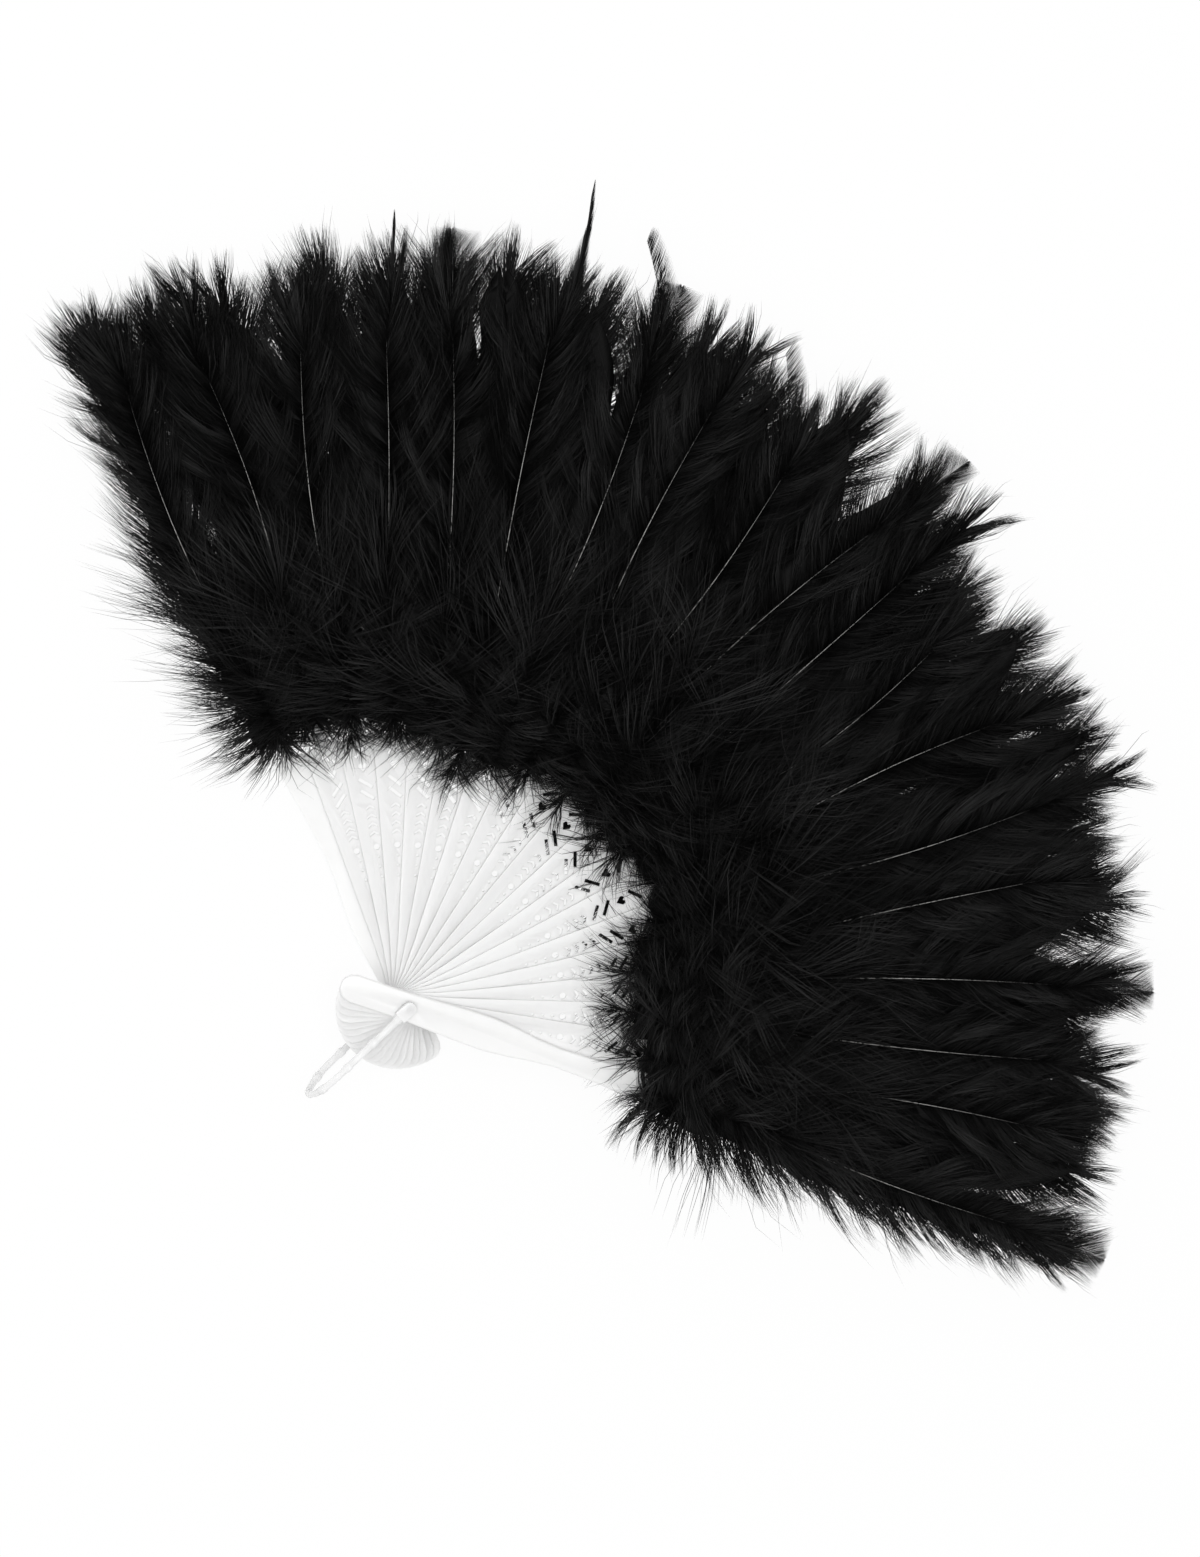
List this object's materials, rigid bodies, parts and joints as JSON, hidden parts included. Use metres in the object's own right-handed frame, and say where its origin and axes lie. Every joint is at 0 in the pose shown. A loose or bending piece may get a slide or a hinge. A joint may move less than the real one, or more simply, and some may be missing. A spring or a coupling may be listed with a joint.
{
  "type": "folding feather fan",
  "caption": "Folding hand fan of pierced white plastic sticks on one pivot, each tipped with a black marabou plume, with a ringed carry loop.",
  "frame": {"origin": "on the pivot axis, in the plane the fan lies on: the outer face of the carry loop's rear boss", "axes": "+Z along the pivot axis from the rear guard to the front guard, +Y along the middle of the open fan, +X towards the front guard's side"},
  "size_m": [0.5101, 0.3368, 0.0354],
  "materials": {
    "stick_plastic": "milky white moulded plastic, satin gloss",
    "loop_plastic": "clear-white moulded plastic, glossy",
    "feather": "dyed black marabou down and quills",
    "link_tape": "black woven cotton tape"
  },
  "bodies": {
    "rear_guard": {"rear_guard": "stick_plastic", "rear_guard_plume": "feather", "link_tape_01": "link_tape", "pivot_pin": "stick_plastic"},
    "stick_01": {"stick_01": "stick_plastic", "plume_01": "feather", "link_tape_02": "link_tape"},
    "stick_02": {"stick_02": "stick_plastic", "plume_02": "feather", "link_tape_03": "link_tape"},
    "stick_03": {"stick_03": "stick_plastic", "plume_03": "feather", "link_tape_04": "link_tape"},
    "stick_04": {"stick_04": "stick_plastic", "plume_04": "feather", "link_tape_05": "link_tape"},
    "stick_05": {"stick_05": "stick_plastic", "plume_05": "feather", "link_tape_06": "link_tape"},
    "stick_06": {"stick_06": "stick_plastic", "plume_06": "feather", "link_tape_07": "link_tape"},
    "stick_07": {"stick_07": "stick_plastic", "plume_07": "feather", "link_tape_08": "link_tape"},
    "stick_08": {"stick_08": "stick_plastic", "plume_08": "feather", "link_tape_09": "link_tape"},
    "stick_09": {"stick_09": "stick_plastic", "plume_09": "feather", "link_tape_10": "link_tape"},
    "stick_10": {"stick_10": "stick_plastic", "plume_10": "feather", "link_tape_11": "link_tape"},
    "stick_11": {"stick_11": "stick_plastic", "plume_11": "feather", "link_tape_12": "link_tape"},
    "stick_12": {"stick_12": "stick_plastic", "plume_12": "feather", "link_tape_13": "link_tape"},
    "stick_13": {"stick_13": "stick_plastic", "plume_13": "feather", "link_tape_14": "link_tape"},
    "stick_14": {"stick_14": "stick_plastic", "plume_14": "feather", "link_tape_15": "link_tape"},
    "stick_15": {"stick_15": "stick_plastic", "plume_15": "feather", "link_tape_16": "link_tape"},
    "stick_16": {"stick_16": "stick_plastic", "plume_16": "feather", "link_tape_17": "link_tape"},
    "stick_17": {"stick_17": "stick_plastic", "plume_17": "feather", "link_tape_18": "link_tape"},
    "front_guard": {"front_guard": "stick_plastic", "front_guard_plume": "feather"},
    "carry_loop": {"carry_loop": "loop_plastic"}
  },
  "joints": [
    {"name": "fold", "type": "hinge", "parent": "rear_guard", "child": "front_guard", "pos_m": [0, 0, 0], "axis": [0, 0, 1], "range_deg": [0, 135], "deforming": ["rear_guard_plume", "plume_01", "plume_02", "plume_03", "plume_04", "plume_05", "plume_06", "plume_07", "plume_08", "plume_09", "plume_10", "plume_11", "plume_12", "plume_13", "plume_14", "plume_15", "plume_16", "plume_17", "front_guard_plume", "link_tape_01", "link_tape_02", "link_tape_03", "link_tape_04", "link_tape_05", "link_tape_06", "link_tape_07", "link_tape_08", "link_tape_09", "link_tape_10", "link_tape_11", "link_tape_12", "link_tape_13", "link_tape_14", "link_tape_15", "link_tape_16", "link_tape_17", "link_tape_18"]},
    {"name": "stick_01_swing", "type": "hinge", "parent": "rear_guard", "child": "stick_01", "pos_m": [0, 0, 0], "axis": [0, 0, 1], "range_deg": [0, 7.55]},
    {"name": "stick_02_swing", "type": "hinge", "parent": "rear_guard", "child": "stick_02", "pos_m": [0, 0, 0], "axis": [0, 0, 1], "range_deg": [0, 15.05]},
    {"name": "stick_03_swing", "type": "hinge", "parent": "rear_guard", "child": "stick_03", "pos_m": [0, 0, 0], "axis": [0, 0, 1], "range_deg": [0, 22.55]},
    {"name": "stick_04_swing", "type": "hinge", "parent": "rear_guard", "child": "stick_04", "pos_m": [0, 0, 0], "axis": [0, 0, 1], "range_deg": [0, 30.05]},
    {"name": "stick_05_swing", "type": "hinge", "parent": "rear_guard", "child": "stick_05", "pos_m": [0, 0, 0], "axis": [0, 0, 1], "range_deg": [0, 37.55]},
    {"name": "stick_06_swing", "type": "hinge", "parent": "rear_guard", "child": "stick_06", "pos_m": [0, 0, 0], "axis": [0, 0, 1], "range_deg": [0, 45.05]},
    {"name": "stick_07_swing", "type": "hinge", "parent": "rear_guard", "child": "stick_07", "pos_m": [0, 0, 0], "axis": [0, 0, 1], "range_deg": [0, 52.55]},
    {"name": "stick_08_swing", "type": "hinge", "parent": "rear_guard", "child": "stick_08", "pos_m": [0, 0, 0], "axis": [0, 0, 1], "range_deg": [0, 60.05]},
    {"name": "stick_09_swing", "type": "hinge", "parent": "rear_guard", "child": "stick_09", "pos_m": [0, 0, 0], "axis": [0, 0, 1], "range_deg": [0, 67.55]},
    {"name": "stick_10_swing", "type": "hinge", "parent": "rear_guard", "child": "stick_10", "pos_m": [0, 0, 0], "axis": [0, 0, 1], "range_deg": [0, 75.05]},
    {"name": "stick_11_swing", "type": "hinge", "parent": "rear_guard", "child": "stick_11", "pos_m": [0, 0, 0], "axis": [0, 0, 1], "range_deg": [0, 82.55]},
    {"name": "stick_12_swing", "type": "hinge", "parent": "rear_guard", "child": "stick_12", "pos_m": [0, 0, 0], "axis": [0, 0, 1], "range_deg": [0, 90.05]},
    {"name": "stick_13_swing", "type": "hinge", "parent": "rear_guard", "child": "stick_13", "pos_m": [0, 0, 0], "axis": [0, 0, 1], "range_deg": [0, 97.55]},
    {"name": "stick_14_swing", "type": "hinge", "parent": "rear_guard", "child": "stick_14", "pos_m": [0, 0, 0], "axis": [0, 0, 1], "range_deg": [0, 105.05]},
    {"name": "stick_15_swing", "type": "hinge", "parent": "rear_guard", "child": "stick_15", "pos_m": [0, 0, 0], "axis": [0, 0, 1], "range_deg": [0, 112.55]},
    {"name": "stick_16_swing", "type": "hinge", "parent": "rear_guard", "child": "stick_16", "pos_m": [0, 0, 0], "axis": [0, 0, 1], "range_deg": [0, 120.05]},
    {"name": "stick_17_swing", "type": "hinge", "parent": "rear_guard", "child": "stick_17", "pos_m": [0, 0, 0], "axis": [0, 0, 1], "range_deg": [0, 127.55]},
    {"name": "loop_swing", "type": "hinge", "parent": "rear_guard", "child": "carry_loop", "pos_m": [0, 0, 0], "axis": [0, 0, 1], "range_deg": [-80, 80]}
  ],
  "couplings": [
    {"joint": "stick_01_swing", "follows": "fold", "ratio": 0.055556},
    {"joint": "stick_02_swing", "follows": "fold", "ratio": 0.11111},
    {"joint": "stick_03_swing", "follows": "fold", "ratio": 0.16667},
    {"joint": "stick_04_swing", "follows": "fold", "ratio": 0.22222},
    {"joint": "stick_05_swing", "follows": "fold", "ratio": 0.27778},
    {"joint": "stick_06_swing", "follows": "fold", "ratio": 0.33333},
    {"joint": "stick_07_swing", "follows": "fold", "ratio": 0.38889},
    {"joint": "stick_08_swing", "follows": "fold", "ratio": 0.44444},
    {"joint": "stick_09_swing", "follows": "fold", "ratio": 0.5},
    {"joint": "stick_10_swing", "follows": "fold", "ratio": 0.55556},
    {"joint": "stick_11_swing", "follows": "fold", "ratio": 0.61111},
    {"joint": "stick_12_swing", "follows": "fold", "ratio": 0.66667},
    {"joint": "stick_13_swing", "follows": "fold", "ratio": 0.72222},
    {"joint": "stick_14_swing", "follows": "fold", "ratio": 0.77778},
    {"joint": "stick_15_swing", "follows": "fold", "ratio": 0.83333},
    {"joint": "stick_16_swing", "follows": "fold", "ratio": 0.88889},
    {"joint": "stick_17_swing", "follows": "fold", "ratio": 0.94444}
  ]
}
